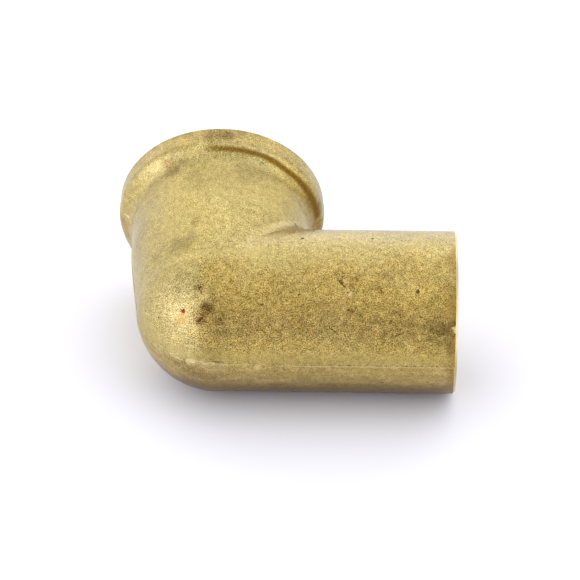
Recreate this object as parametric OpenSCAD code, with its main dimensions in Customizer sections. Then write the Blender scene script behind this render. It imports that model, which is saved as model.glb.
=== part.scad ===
// Ninety degree elbow fitting, forged in one piece and machined at both ends.
// A plain arm with a socket for a soldered tube runs along +X. The other arm
// ends in a round collar and is bored for a female pipe thread.
// It lies as it comes to rest: on the side of the plain arm and on the rim of
// the collar, so the plane of the two arm axes leans by rest_tilt.

/* [Plain arm] */
// Outside diameter of the plain arm and of the round corner
plain_od = 21.0; // [20.6:0.1:21.4]
// Length from the point where the arm axes cross to the plain end
plain_len = 30.6; // [29:0.1:34]
// Edge break around the outside of the plain end
plain_edge = 0.4; // [0.2:0.05:0.6]
// Diameter of the socket for the tube
socket_d = 18.1; // [18:0.05:18.2]
// Depth of the socket to the tube stop
socket_depth = 13.0; // [12.6:0.1:14]
// Edge break at the mouth of the socket
socket_edge = 0.3; // [0.2:0.05:0.5]

/* [Collared arm] */
// Length from the point where the arm axes cross to the machined face
collar_len = 20.3; // [20:0.1:22]
// Outside diameter of the collar
collar_od = 26.9; // [26.5:0.1:27.5]
// Length of the straight crest of the collar, without the edge break
collar_crest = 2.0; // [1.6:0.1:2.4]
// Edge break between the collar's crest and the machined face
collar_edge = 0.3; // [0.2:0.05:0.5]
// Radius that rounds the back of the collar into its crest
collar_round = 1.6; // [1.2:0.1:2]
// Slope of the back of the collar, measured from the arm's axis
collar_slope = 40; // [35:1:50]
// Radius of the fillet where the collar grows out of the arm
collar_fillet = 1.5; // [1:0.1:2]
// Radius of the arm where its taper from the corner ends
neck_r1 = 11.45; // [11.3:0.05:11.6]
// Distance from the corner point to where that taper ends
neck_s1 = 7.8; // [7:0.1:8.5]
// Draft angle of the arm from there to the collar
neck_draft = 2.4; // [1:0.1:3]

/* [Female thread] */
// Bore diameter, which is the minor diameter of the half inch thread
thread_minor_d = 18.63; // [18.6:0.01:18.7]
// Length of the threaded bore behind the machined face
thread_depth = 13.0; // [12.5:0.1:13.4]
// Diameter of the 45 degree countersink at the mouth of the thread
thread_mouth_d = 21.4; // [21:0.1:22]

/* [Waterway and corner] */
// Diameter of the waterway from the tube stop to the corner
way_d = 16.0; // [15:0.1:16.4]
// Diameter of the waterway drilled from the threaded end
way_thread_d = 16.6; // [16.5:0.1:17]
// How far each drill's full diameter runs past the crossing of the axes
way_past = 1.0; // [0:0.1:1.5]
// Radius of the fillet in the crotch between the two arms
crotch_r = 1.5; // [1:0.1:2.5]
// Width of the raised land that the trimmed parting line leaves
land_w = 0.8; // [0.6:0.1:1.5]
// Height of that land
land_h = 0.08; // [0.05:0.01:0.15]

/* [Hidden] */
$fn = 180;

r1 = plain_od / 2;
rc = collar_od / 2;
crest_back = collar_len - collar_edge - collar_crest;

// radius of the collared arm on its long tapered part, s along its axis
function neck_r(s) = neck_r1 + (s - neck_s1) * tan(neck_draft);

// centre of the round between the collar's back and its crest
round_r = rc - collar_round;
// where the sloping back leaves that round
back_r = round_r + collar_round * cos(collar_slope);
back_s = crest_back - collar_round * sin(collar_slope);

// fillet circle at the collar's root: it touches the drafted arm and the back.
// Along the back, r = back_r + (s - back_s) * tan(collar_slope); both lines are
// moved out by the fillet radius and crossed.
fil_a = neck_r(0) + collar_fillet / cos(neck_draft);
fil_b = back_r - back_s * tan(collar_slope) + collar_fillet / cos(collar_slope);
fil_s = (fil_a - fil_b) / (tan(collar_slope) - tan(neck_draft));
fil_r = fil_a + fil_s * tan(neck_draft);
root_s = fil_s + collar_fillet * sin(neck_draft);
root_r = fil_r - collar_fillet * cos(neck_draft);
rise_s = fil_s + collar_fillet * sin(collar_slope);
rise_r = fil_r - collar_fillet * cos(collar_slope);

// the body lies on the plain arm's side and on the round of the collar: the
// lean that brings the lowest point of that round down to the surface
lean_c = r1 - collar_round;
rest_tilt = atan2(round_r, crest_back)
          - asin(lean_c / sqrt(round_r * round_r + crest_back * crest_back));

// middle of the resting body's box: the parting land reaches furthest at -X
// and -Y, and the collar's machined face furthest at +Y
mid_x = (plain_len - rc - land_h) / 2;
front_y = (r1 + land_h) * cos(rest_tilt - asin(land_w / 2 / (r1 + land_h)));
face_y = collar_len * cos(rest_tilt) + (rc - collar_edge) * sin(rest_tilt);
mid_y = (face_y - front_y) / 2;

// arcs reach this far past the lines they touch, so that they cross them
over = 0.004;

// turns a shape revolved about +Z so that it lies along the plain arm
module along_plain() { rotate([0, 90, 0]) children(); }
// the same for the collared arm
module along_collar() { rotate([-90, 0, 0]) children(); }

// outside of the plain arm with the ball of the corner, grown by g
module plain_outside(g = 0) {
    along_plain() cylinder(r = r1 + g, h = plain_len);
    sphere(r = r1 + g);
}

// half section of the collared arm, radius across and length upwards
module collar_section() {
    difference() {
        union() {
            polygon([
                [0, -1.2], [r1 + 0.05 + (neck_r1 - r1 - 0.05) * -1.2 / neck_s1, -1.2],
                [neck_r1, neck_s1],
                [root_r, root_s], [fil_r, fil_s], [rise_r, rise_s],
                [back_r, back_s], [round_r, crest_back], [rc, crest_back],
                [rc, collar_len], [0, collar_len]
            ]);
            translate([round_r, crest_back]) circle(r = collar_round + over);
        }
        translate([fil_r, fil_s]) circle(r = collar_fillet + over);
    }
}

// outside of the collared arm, grown by g
module collar_outside(g = 0) {
    along_collar() rotate_extrude() {
        translate([g, 0]) collar_section();
        if (g > 0) translate([0, -1.2]) square([r1 / 2, collar_len + 1.2]);
    }
}

// fillet in the crotch: the inner side of a bent tube laid into the corner
module crotch(g = 0) {
    tube = 8;
    sink = 0.03;
    translate([neck_r(r1 + crotch_r) + crotch_r - sink, r1 + crotch_r - sink, 0])
        rotate_extrude(angle = 90, start = 180)
            translate([crotch_r + tube, 0]) circle(r = tube + g);
}

// land left where the flash was trimmed off, all round in the plane of the axes
module parting_land() {
    intersection() {
        union() {
            plain_outside(land_h);
            collar_outside(land_h);
            crotch(land_h);
        }
        translate([-2 * collar_od, -2 * collar_od, -land_w / 2])
            cube([4 * collar_od, 4 * collar_od, land_w]);
    }
}

// the forging before it is machined
module forging() {
    plain_outside();
    collar_outside();
    crotch();
    parting_land();
}

// ring that breaks an outside edge: radius r at length h, edge break e
module edge_cut(r, h, e) {
    rotate_extrude()
        polygon([[r - e, h], [r + 1, h - e - 1], [r + 1, h + 1], [r - e, h + 1]]);
}

// hole from the plain end: drill tip, waterway, tube stop, socket, edge break
module plain_hole() {
    way_r = way_d / 2;
    bore_r = socket_d / 2;
    along_plain() rotate_extrude() polygon([
        [0, -way_past - way_r * tan(31)], [way_r, -way_past],
        [way_r, plain_len - socket_depth], [bore_r, plain_len - socket_depth],
        [bore_r, plain_len - socket_edge], [bore_r + socket_edge + 1, plain_len + 1],
        [0, plain_len + 1]
    ]);
}

// hole from the collared end: drill tip, waterway, threaded bore, countersink
module collar_hole() {
    way_r = way_thread_d / 2;
    bore_r = thread_minor_d / 2;
    sink = (thread_mouth_d - thread_minor_d) / 2;
    end = collar_len - thread_depth;
    along_collar() rotate_extrude() polygon([
        [0, -way_past - way_r * tan(31)], [way_r, -way_past],
        [way_r, end - (bore_r - way_r) * tan(31)], [bore_r, end],
        [bore_r, collar_len - sink], [bore_r + sink + 1, collar_len + 1],
        [0, collar_len + 1]
    ]);
}

module elbow_body() {
    color([0.76, 0.66, 0.38])
    translate([-mid_x, -mid_y, r1])
    rotate([rest_tilt, 0, 0])
    difference() {
        forging();
        along_plain() edge_cut(r1, plain_len, plain_edge);
        along_collar() edge_cut(rc, collar_len, collar_edge);
        plain_hole();
        collar_hole();
    }
}

elbow_body();
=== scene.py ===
import math

import bpy
import numpy as np
from mathutils import Matrix, Vector


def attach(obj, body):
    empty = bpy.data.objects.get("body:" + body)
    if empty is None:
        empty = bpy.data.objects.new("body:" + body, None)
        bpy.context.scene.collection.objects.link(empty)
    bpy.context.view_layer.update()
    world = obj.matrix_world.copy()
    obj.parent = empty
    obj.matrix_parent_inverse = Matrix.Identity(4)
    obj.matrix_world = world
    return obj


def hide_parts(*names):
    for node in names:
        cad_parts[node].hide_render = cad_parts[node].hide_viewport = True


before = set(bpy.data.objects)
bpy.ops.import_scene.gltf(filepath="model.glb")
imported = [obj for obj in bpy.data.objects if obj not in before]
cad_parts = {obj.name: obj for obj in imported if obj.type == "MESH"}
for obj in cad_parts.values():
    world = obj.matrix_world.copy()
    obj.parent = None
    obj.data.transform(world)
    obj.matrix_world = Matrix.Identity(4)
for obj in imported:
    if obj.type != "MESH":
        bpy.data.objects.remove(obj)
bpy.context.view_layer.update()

# --------------------------------------------------------------------------
# Sizes, in millimetres, as in the CAD model, but for a finer break of the plain
# arm's edge. The flat frame has the plain arm along +x, the collared arm along
# +y and z square to the plane of the arms.
# --------------------------------------------------------------------------
R1 = 10.5                 # plain arm and ball of the corner
L1 = 30.6                 # corner to the plain end
EDGE1 = 0.29
SOCKET_R, SOCKET_END, SOCKET_EDGE = 9.05, 17.6, 0.3
S_FACE = 20.3             # corner to the machined face
RC = 13.45                # collar
EDGE2 = 0.3
CREST_BACK = 18.0
ROUND = 1.6
SLOPE = math.radians(40.0)
FILLET = 1.5
MINOR_R, MAJOR_R, PITCH = 9.3155, 10.4775, 1.814
THREAD_END = 7.3
MOUTH_R = 10.7
WAY1, WAY2, PAST = 8.0, 8.3, 1.0
TIP = math.tan(math.radians(31.0))
CROTCH = 2.0
LEAN = math.radians(8.965809796555344)
CORNER = np.array([-8.535, -5.797866, 10.5])
B_AX = np.array([0.0, math.cos(LEAN), math.sin(LEAN)])
N_AX = np.array([0.0, -math.sin(LEAN), math.cos(LEAN)])


def to_world(p):
    """Flat frame in mm to the row frame in metres."""
    p = np.asarray(p, float)
    w = CORNER + p[..., :1] * np.array([1.0, 0, 0]) + p[..., 1:2] * B_AX + p[..., 2:3] * N_AX
    return w / 1000.0


# --------------------------------------------------------------------------
# Smooth lattice noise, the same each run
# --------------------------------------------------------------------------
LATTICE = np.random.RandomState(20817).uniform(-1.0, 1.0, (32, 32, 32))


def noise(p, size, shift=0.0):
    """Value noise of about -1 to 1 with features of the given size in mm."""
    q = np.asarray(p, float) / size + shift
    i = np.floor(q).astype(int)
    f = q - i
    f = f * f * f * (f * (f * 6 - 15) + 10)
    out = 0.0
    for dx in (0, 1):
        wx = f[..., 0] if dx else 1 - f[..., 0]
        for dy in (0, 1):
            wy = f[..., 1] if dy else 1 - f[..., 1]
            for dz in (0, 1):
                wz = f[..., 2] if dz else 1 - f[..., 2]
                out = out + wx * wy * wz * LATTICE[
                    (i[..., 0] + dx) % 32, (i[..., 1] + dy) % 32, (i[..., 2] + dz) % 32
                ]
    return out


def smooth(x):
    x = np.clip(x, 0.0, 1.0)
    return x * x * (3 - 2 * x)


# --------------------------------------------------------------------------
# Outside of the forging as a distance-like function, negative inside
# --------------------------------------------------------------------------
def soft_max(a, b, k):
    h = np.clip(0.5 + 0.5 * (a - b) / k, 0, 1)
    return b * (1 - h) + a * h + k * h * (1 - h)


def soft_min(a, b, k):
    return -soft_max(-a, -b, k)


ROUND_R = RC - ROUND
BACK_R = ROUND_R + ROUND * math.cos(SLOPE)
BACK_S = CREST_BACK - ROUND * math.sin(SLOPE)


def collar_radius(s):
    """Radius of the collared arm at s along its axis."""
    s = np.asarray(s, float)
    cone = 10.56 + 0.1145 * s - 0.045 * np.exp(-np.maximum(s, 0) / 0.45)
    draft = 11.455 + (s - 7.8) * math.tan(math.radians(2.4))
    neck = soft_min(cone, draft, 0.12)
    flank = BACK_R + (s - BACK_S) * math.tan(SLOPE)
    body = soft_max(neck, flank, 0.62)
    arc = ROUND_R + np.sqrt(np.maximum(ROUND ** 2 - (s - CREST_BACK) ** 2, 0))
    return np.where(s > CREST_BACK, RC, np.where(s > BACK_S, arc, np.minimum(body, RC)))


def outside(p):
    x, y, z = p[..., 0], p[..., 1], p[..., 2]
    ball = np.sqrt(x * x + y * y + z * z)
    yz = np.hypot(y, z)
    xz = np.hypot(x, z)
    d1 = np.where(x >= 0, yz, ball) - R1
    rad = collar_radius(np.maximum(y, 0))
    d2 = np.where(y >= 0, xz, ball) - rad
    # cosine between the two outward directions: the fillet fades out where
    # the arms run into each other without a corner
    slope = (collar_radius(np.maximum(y, 0) + 0.01) - rad) / 0.01 * (y >= 0)
    n1 = np.where(x >= 0, yz, ball) + 1e-9
    n2 = np.where(y >= 0, xz, ball) + 1e-9
    g1 = np.stack([np.where(x >= 0, 0, x) / n1, y / n1, z / n1], -1)
    g2 = np.stack([x / n2, np.where(y >= 0, -slope, y / n2), z / n2], -1)
    g2 /= np.linalg.norm(g2, axis=-1, keepdims=True)
    r = CROTCH * np.clip(1 - (g1 * g2).sum(-1), 0, 1.1) + 0.03
    u, v = np.maximum(r - d1, 0), np.maximum(r - d2, 0)
    return np.maximum(r, np.minimum(d1, d2)) - np.hypot(u, v)


# Dents that the mesh itself carries: arm, distance along it, angle round it
# (0 faces the other arm, 90 is up), radius along, radius round, depth, mm.
DENTS = [
    ("plain", 29.92, 148.9, 0.46, 0.40, 0.22),
]


def surface_frame(arm, along, round_deg):
    a = math.radians(round_deg)
    if arm == "plain":
        n = np.array([0.0, math.cos(a), math.sin(a)])
        return np.array([along, 0, 0]) + R1 * n, n, np.array([1.0, 0, 0])
    n = np.array([math.cos(a), 0.0, math.sin(a)])
    return np.array([0, along, 0]) + float(collar_radius(along)) * n, n, np.array([0, 1.0, 0])


def relief(p):
    """Height of the forged skin over the smooth body, in mm."""
    x, y, z = p[..., 0], p[..., 1], p[..., 2]
    h = 0.034 * noise(p, 6.5, 3.3) + 0.017 * noise(p, 2.6, 7.7) + 0.008 * noise(p, 1.1, 1.9)
    # parting line: a step where the flash was trimmed, fading out downwards
    wob = 0.05 * noise(p * [1, 1, 0.2], 1.7, 5.1)
    step = smooth((0.40 + wob - z) / 0.10) * (1 - smooth((-z - 0.5) / 3.0))
    # worn away on the round of the corner
    h = h + 0.065 * step * (1 - 0.75 * np.exp(-((x + 6.6) ** 2 + (y + 8.0) ** 2) / 6.8))
    for arm, along, deg, ra, rr, depth in DENTS:
        c, n, t = surface_frame(arm, along, deg)
        b = np.cross(n, t)
        d = p - c
        q = (d @ t / ra) ** 2 + (d @ b / rr) ** 2 + (d @ n / (2 * max(ra, rr))) ** 2
        h = h - depth * np.exp(-2.0 * q)
    return h


def cast(origin, direction, reach):
    """First way out of the body along each ray."""
    lo = np.zeros(origin.shape[:-1])
    hi = np.broadcast_to(reach, lo.shape).astype(float).copy()
    for _ in range(26):
        mid = (lo + hi) / 2
        inside = outside(origin + direction * mid[..., None]) < 0
        lo, hi = np.where(inside, mid, lo), np.where(inside, hi, mid)
    t = (lo + hi) / 2
    # then onto the forged skin: two steps with the slope along the ray
    for _ in range(2):
        q = origin + direction * t[..., None]
        f = outside(q) - relief(q)
        g = (outside(q + direction * 0.02) - outside(q)) / 0.02
        t = t - f / np.maximum(g, 0.5)
    return t


# --------------------------------------------------------------------------
# Mesh store: corners, faces, one UV map, zone of each face, sharp edges
# --------------------------------------------------------------------------
class Store:
    def __init__(self):
        self.co, self.n = [], 0
        self.faces, self.uvs, self.zone, self.sharp = [], [], [], []

    def add(self, pts):
        pts = np.asarray(pts, float)
        flat = pts.reshape(-1, 3)
        idx = np.arange(self.n, self.n + len(flat)).reshape(pts.shape[:-1])
        self.co.append(flat)
        self.n += len(flat)
        return idx

    def face(self, idx, uv, zone):
        self.faces.append(tuple(int(i) for i in idx))
        self.uvs.extend((float(a), float(b)) for a, b in uv)
        self.zone.append(zone)

    def band(self, a, b, ua, ub, zone):
        """Quads between two closed rings of the same count. ua and ub have one more entry than the rings."""
        n = len(a)
        for j in range(n):
            k = (j + 1) % n
            self.face((a[j], a[k], b[k], b[j]), (ua[j], ua[j + 1], ub[j + 1], ub[j]), zone)

    def zip(self, a, b, ta, tb, ua, ub, zone):
        """Triangles between two closed rings of different counts. ta and tb give how far round each point is, with a closing entry."""
        i = j = 0
        n, m = len(a), len(b)
        while i < n or j < m:
            if j >= m or (i < n and ta[i + 1] <= tb[j + 1]):
                self.face((a[i % n], a[(i + 1) % n], b[j % m]), (ua[i], ua[i + 1], ub[j]), zone)
                i += 1
            else:
                self.face((a[i % n], b[(j + 1) % m], b[j % m]), (ua[i], ub[j + 1], ub[j]), zone)
                j += 1

    def ring_sharp(self, a):
        n = len(a)
        self.sharp.extend((int(a[j]), int(a[(j + 1) % n])) for j in range(n))


S = Store()
FORGED, TURNED, BORE, THREAD = 0, 1, 2, 3

# --------------------------------------------------------------------------
# Outside: columns round the section, rings along the bend
# --------------------------------------------------------------------------
LAND_Z = np.array([-0.62, -0.45, -0.15, 0.15, 0.28, 0.36, 0.44, 0.62])
gap0 = math.radians(4.5)
side = np.linspace(gap0, math.pi - gap0, 115)
# angle columns: 0 side (land), upper side, 180 side (land), lower side
COL_T = np.concatenate([
    LAND_Z / R1,
    side,
    math.pi - LAND_Z[::-1] / R1,
    math.pi + side,
])
order = np.argsort(COL_T)
COL_T = COL_T[order]
near0 = np.abs(COL_T) < math.radians(4.0)
near180 = np.abs(COL_T - math.pi) < math.radians(4.0)
LAND_OF = np.where(near0, COL_T * R1, np.where(near180, (math.pi - COL_T) * R1, 0.0))
NC = len(COL_T)

PIV = np.array([13.1, 12.0])


def section(phi):
    """Centre and the two in-plane directions of a ring in the fan about the pivot."""
    d = np.array([-math.sin(phi), -math.cos(phi), 0.0])
    p = np.array([PIV[0], PIV[1], 0.0])
    t = np.linspace(0.2, 34, 700)
    inside = outside(p + d * t[:, None]) < 0
    first = int(np.argmax(inside))
    last = len(t) - 1 - int(np.argmax(inside[::-1]))
    tc = (t[first] + t[last]) / 2
    return p + d * tc, -d, tc


rings = []                # (centre, direction of angle 0, reach towards it)
x_plain = np.concatenate([
    np.linspace(L1 - EDGE1 - 0.12, L1 - 1.5, 10), np.linspace(L1 - 1.5, PIV[0] + 0.12, 57)[1:]
])
for x in x_plain:
    rings.append((np.array([x, 0, 0]), np.array([0, 1.0, 0]), 11.6))
# fan angles that space the rings evenly along the outer side of the bend
probe = np.linspace(0, math.pi / 2, 181)
out_pts = []
for phi in probe:
    c, u, tc = section(phi)
    t = cast(c[None], -u[None], 17.0)
    out_pts.append(c - u * t[0])
out_pts = np.array(out_pts)
step = np.concatenate([[0], np.cumsum(np.linalg.norm(np.diff(out_pts, axis=0), axis=1))])
N_FAN = 142
fan = np.interp(np.linspace(0, step[-1], N_FAN), step, probe)
for phi in fan:
    c, u, tc = section(phi)
    rings.append((c, u, tc))
s_collar = np.concatenate([
    np.linspace(12.0, 14.9, 11)[1:], np.linspace(14.9, 18.1, 24)[1:], np.linspace(18.1, S_FACE - EDGE2 - 0.12, 7)[1:]
])
for s in s_collar:
    rings.append((np.array([0, s, 0]), np.array([1.0, 0, 0]), 15.0))

C = np.array([r[0] for r in rings])
U = np.array([r[1] for r in rings])
REACH = np.array([r[2] for r in rings])
NR = len(rings)
in_fan = np.zeros(NR, bool)
in_fan[len(x_plain):len(x_plain) + N_FAN] = True
T = np.broadcast_to(COL_T, (NR, NC)).copy()
for turn in range(3):
    D = np.cos(T)[..., None] * U[:, None, :] + np.sin(T)[..., None] * np.array([0, 0, 1.0])
    reach = np.where(
        in_fan[:, None],
        np.minimum(17.0, REACH[:, None] / np.maximum(np.cos(T), 0.02) * 0.999),
        REACH[:, None],
    )
    dist = cast(np.broadcast_to(C[:, None, :], D.shape), D, reach)
    if turn < 2:          # keep the columns beside the parting line at their own height
        T = np.where(near0, np.arcsin(np.clip(LAND_OF / dist, -1, 1)), T)
        T = np.where(near180, math.pi - np.arcsin(np.clip(LAND_OF / dist, -1, 1)), T)
P = C[:, None, :] + D * dist[..., None]

# machined edges: the chamfer cone meets the skin where the skin is
ring_dir_x = np.stack([np.zeros(NC), np.cos(COL_T), np.sin(COL_T)], -1)
q = np.array([L1 - EDGE1, 0, 0]) + R1 * ring_dir_x
h = relief(q) + 0.02 * noise(q, 1.3, 9.4)
edge_x = (L1 - EDGE1 - h)[:, None] * np.array([1.0, 0, 0]) + (R1 + relief(q))[:, None] * ring_dir_x
face_x = np.array([L1, 0, 0]) + (R1 - EDGE1) * ring_dir_x
ring_dir_y = np.stack([np.cos(COL_T), np.zeros(NC), np.sin(COL_T)], -1)
q = np.array([0, S_FACE - EDGE2, 0]) + RC * ring_dir_y
h = relief(q)
edge_y = (S_FACE - EDGE2 - h)[:, None] * np.array([0, 1.0, 0]) + (RC + h)[:, None] * ring_dir_y
face_y = np.array([0, S_FACE, 0]) + (RC - EDGE2) * ring_dir_y

P = np.concatenate([edge_x[None], P, edge_y[None]])
along = np.concatenate([[0], np.cumsum(np.linalg.norm(np.diff(P[:, NC // 2], axis=0), axis=1))])

# UV map: the outside on the upper three quarters, the two insides below
BOX_OUT = (0.004, 0.996, 0.245, 0.997)
BOX_1 = (0.004, 0.494, 0.004, 0.238)
BOX_2 = (0.506, 0.996, 0.004, 0.238)


def uv_ring(box, frac_u, frac_v):
    u = box[0] + (box[1] - box[0]) * np.asarray(frac_u)
    v = box[2] + (box[3] - box[2]) * np.broadcast_to(frac_v, u.shape)
    return np.stack([u, v], -1)


first_t = COL_T[0]
col_u = np.append((COL_T - first_t) / (2 * math.pi), 1.0)
I = S.add(P)
for i in range(len(P) - 1):
    S.band(I[i], I[i + 1], uv_ring(BOX_OUT, col_u, along[i] / along[-1]),
           uv_ring(BOX_OUT, col_u, along[i + 1] / along[-1]), FORGED)
S.ring_sharp(I[0])
S.ring_sharp(I[-1])

# --------------------------------------------------------------------------
# Inside
# --------------------------------------------------------------------------
NI = 120
IN_T = np.arange(NI) * 2 * math.pi / NI
in_u = np.append(np.arange(NI), NI) / NI


def ring_x(x, r, t=IN_T):
    return np.stack([np.full(len(t), x), r * np.cos(t), r * np.sin(t)], -1)


def ring_y(s, r, t=IN_T):
    r = np.broadcast_to(r, (len(t),))
    s = np.broadcast_to(s, (len(t),))
    return np.stack([r * np.cos(t), s, r * np.sin(t)], -1)


def hole1(p):
    """Distance-like function of the hole drilled from the plain end, negative in it."""
    r = np.hypot(p[..., 1], p[..., 2])
    x = p[..., 0]
    return np.where(x >= -PAST, r - WAY1, r - WAY1 + (-PAST - x) / TIP)


def hole2(p):
    r = np.hypot(p[..., 0], p[..., 2])
    y = p[..., 1]
    return np.where(y >= -PAST, r - WAY2, r - WAY2 + (-PAST - y) / TIP)


def wall1(t, k):
    """Point on the first hole's wall: k from 0 at the tube stop, past the drill's corner at 1, to its tip at 2."""
    x = np.where(k <= 1, SOCKET_END + (-PAST - SOCKET_END) * k, -PAST - WAY1 * TIP * (k - 1))
    r = np.where(k <= 1, WAY1, WAY1 * (2 - k))
    return np.stack([x, r * np.cos(t), r * np.sin(t)], -1)


# where the two holes' walls meet, seen from the first hole: first k at which
# the wall's point lies in the second hole
fine_t = np.linspace(0, math.pi, 721)
ks = np.linspace(0, 1.995, 1600)
KT, KK = np.meshgrid(fine_t, ks, indexing="ij")
hit = hole2(wall1(KT, KK)) < 0
k0 = ks[np.argmax(hit, axis=1)]
lo_k, hi_k = k0 - (ks[1] - ks[0]), k0
for _ in range(30):
    mid = (lo_k + hi_k) / 2
    ins = hole2(wall1(fine_t, mid)) < 0
    lo_k, hi_k = np.where(ins, lo_k, mid), np.where(ins, mid, hi_k)
curve = wall1(fine_t, hi_k)
t2 = np.arctan2(curve[:, 2], curve[:, 0])
both = fine_t + t2 + 0.15 * np.concatenate([[0], np.cumsum(np.linalg.norm(np.diff(curve, axis=0), axis=1))])
both = np.maximum.accumulate(both)
want = np.linspace(both[0], both[-1], NI // 2 + 1)
half_t = np.interp(want, both + np.arange(len(both)) * 1e-9, fine_t)
half_k = np.interp(half_t, fine_t, hi_k)
half = wall1(half_t, half_k)
half[0, 2] = half[-1, 2] = 0.0
CURVE = np.concatenate([half, (half * [1, 1, -1])[-2:0:-1]])
CT1 = np.concatenate([half_t, 2 * math.pi - half_t[-2:0:-1]])
CK1 = np.concatenate([half_k, half_k[-2:0:-1]])
ct2 = np.arctan2(half[:, 2], half[:, 0])
CT2 = np.concatenate([ct2, 2 * math.pi - ct2[-2:0:-1]])

I_curve = S.add(CURVE)
S.ring_sharp(I_curve)

# plain end: face, chamfer, socket, tube stop
If = S.add(face_x)
S.band(If, I[0], uv_ring(BOX_1, col_u, 0.0), uv_ring(BOX_1, col_u, 0.02), TURNED)
S.ring_sharp(If)
lip = S.add(ring_x(L1, SOCKET_R + SOCKET_EDGE))
S.zip(lip, If, np.append(IN_T, 2 * math.pi), np.append(COL_T, COL_T[0] + 2 * math.pi),
      uv_ring(BOX_1, in_u, 0.05), uv_ring(BOX_1, col_u, 0.024), TURNED)
S.ring_sharp(lip)
prev, pv = lip, 0.05
total1 = 38.0
for k, (x, r, zone, sharp) in enumerate(
    [(L1 - SOCKET_EDGE, SOCKET_R, TURNED, True)]
    + [(x, SOCKET_R, BORE, False) for x in np.linspace(L1 - SOCKET_EDGE, SOCKET_END, 14)[1:-1]]
    + [(SOCKET_END, SOCKET_R, BORE, True)]
):
    ring = S.add(ring_x(x, r))
    length = math.hypot(x - (L1 if k == 0 else last[0]), r - (SOCKET_R + SOCKET_EDGE if k == 0 else last[1]))
    nv = pv + length / total1
    S.band(ring, prev, uv_ring(BOX_1, in_u, nv), uv_ring(BOX_1, in_u, pv), zone)
    if sharp:
        S.ring_sharp(ring)
    prev, pv, last = ring, nv, (x, r)
stop = S.add(ring_x(SOCKET_END, WAY1, CT1))
nv = pv + (SOCKET_R - WAY1) / total1
ct1_u = np.append(CT1, 2 * math.pi) / (2 * math.pi)
S.zip(stop, prev, np.append(CT1, 2 * math.pi), np.append(IN_T, 2 * math.pi),
      uv_ring(BOX_1, ct1_u, nv), uv_ring(BOX_1, in_u, pv), BORE)
S.ring_sharp(stop)
stop_v = nv


def wall_columns(first, point, t, k_end, k_corner, last_ring, box, u_frac, v0, v1, k_span, dk):
    """Wall from a ring to the meeting curve: each column has its own rows, and one more at the drill's corner where it passes that."""
    n = len(t)
    cols = []
    for j in range(n):
        end = k_end[j]
        first_part = min(end, k_corner)
        rows = [first_part * a for a in np.linspace(0, 1, 13)[1:]]
        if end > k_corner + 1e-4:
            m = max(1, int(math.ceil((end - k_corner) / dk)))
            rows += [k_corner + (end - k_corner) * a for a in np.linspace(0, 1, m + 1)[1:]]
        rows = rows[:-1]
        pts = np.array([point(t[j], k) for k in rows])
        idx = [int(first[j])] + [int(i) for i in S.add(pts)] + [int(last_ring[j])]
        cols.append((idx, [0.0] + rows + [end]))
    for j in range(n):
        a, b = cols[j], cols[(j + 1) % n]
        ua, ub = u_frac[j], u_frac[j + 1]
        i = k = 0

        def uv(c, row, u):
            return (box[0] + (box[1] - box[0]) * u,
                    box[2] + (box[3] - box[2]) * (v0 + (v1 - v0) * c[1][row] / k_span))

        if len(a[0]) == len(b[0]):
            for i in range(len(a[0]) - 1):
                S.face((a[0][i], a[0][i + 1], b[0][i + 1], b[0][i]),
                       (uv(a, i, ua), uv(a, i + 1, ua), uv(b, i + 1, ub), uv(b, i, ub)), BORE)
            continue
        while i < len(a[0]) - 1 or k < len(b[0]) - 1:
            fa = (i + 1) / (len(a[0]) - 1)
            fb = (k + 1) / (len(b[0]) - 1)
            if k >= len(b[0]) - 1 or (i < len(a[0]) - 1 and fa <= fb):
                S.face((a[0][i], a[0][i + 1], b[0][k]), (uv(a, i, ua), uv(a, i + 1, ua), uv(b, k, ub)), BORE)
                i += 1
            else:
                S.face((a[0][i], b[0][k + 1], b[0][k]), (uv(a, i, ua), uv(b, k + 1, ub), uv(b, k, ub)), BORE)
                k += 1
    # the corner between the drill's side and its tip
    for j in range(n):
        a, b = cols[j], cols[(j + 1) % n]
        if k_end[j] > k_corner + 1e-4 and k_end[(j + 1) % n] > k_corner + 1e-4:
            S.sharp.append((a[0][12], b[0][12]))


wall_columns(stop, lambda t, k: wall1(np.array(t), np.array(k)), CT1, CK1, 1.0, I_curve,
             BOX_1, ct1_u, stop_v, 0.99, 2.0, 0.10)

# collared end: face, countersink, thread, run-out, waterway
Ic = S.add(face_y)
S.band(I[-1], Ic, uv_ring(BOX_2, col_u, 0.016), uv_ring(BOX_2, col_u, 0.0), TURNED)
S.ring_sharp(Ic)
total2 = 44.0
mouth = S.add(ring_y(S_FACE, MOUTH_R))
S.zip(Ic, mouth, np.append(COL_T, COL_T[0] + 2 * math.pi), np.append(IN_T, 2 * math.pi),
      uv_ring(BOX_2, col_u, 0.020), uv_ring(BOX_2, in_u, 0.020 + 2.45 / total2), TURNED)
S.ring_sharp(mouth)


def thread_profile(phase):
    """Height over the minor diameter, 0 to the full depth: 55 degree flanks with rounded crests and roots."""
    full = MAJOR_R - MINOR_R
    a = np.abs((phase % 1.0) - 0.5) * 2          # 1 at the crest of the brass, 0 in the root
    tri = 0.5 + (0.5 - a) * (PITCH / 2 / math.tan(math.radians(27.5))) / full
    k = 0.16
    tri = soft_min(tri, np.ones_like(tri), k)
    return full * soft_max(tri, np.zeros_like(tri), k)


def thread_radius(s, t):
    """Right-handed thread as the bore's radius."""
    phase = s / PITCH - t / (2 * math.pi)
    fade = smooth((s - THREAD_END - 0.25) / 2.2)
    r = MINOR_R + thread_profile(phase) * fade
    return np.maximum(r, MOUTH_R - (S_FACE - s))


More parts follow.
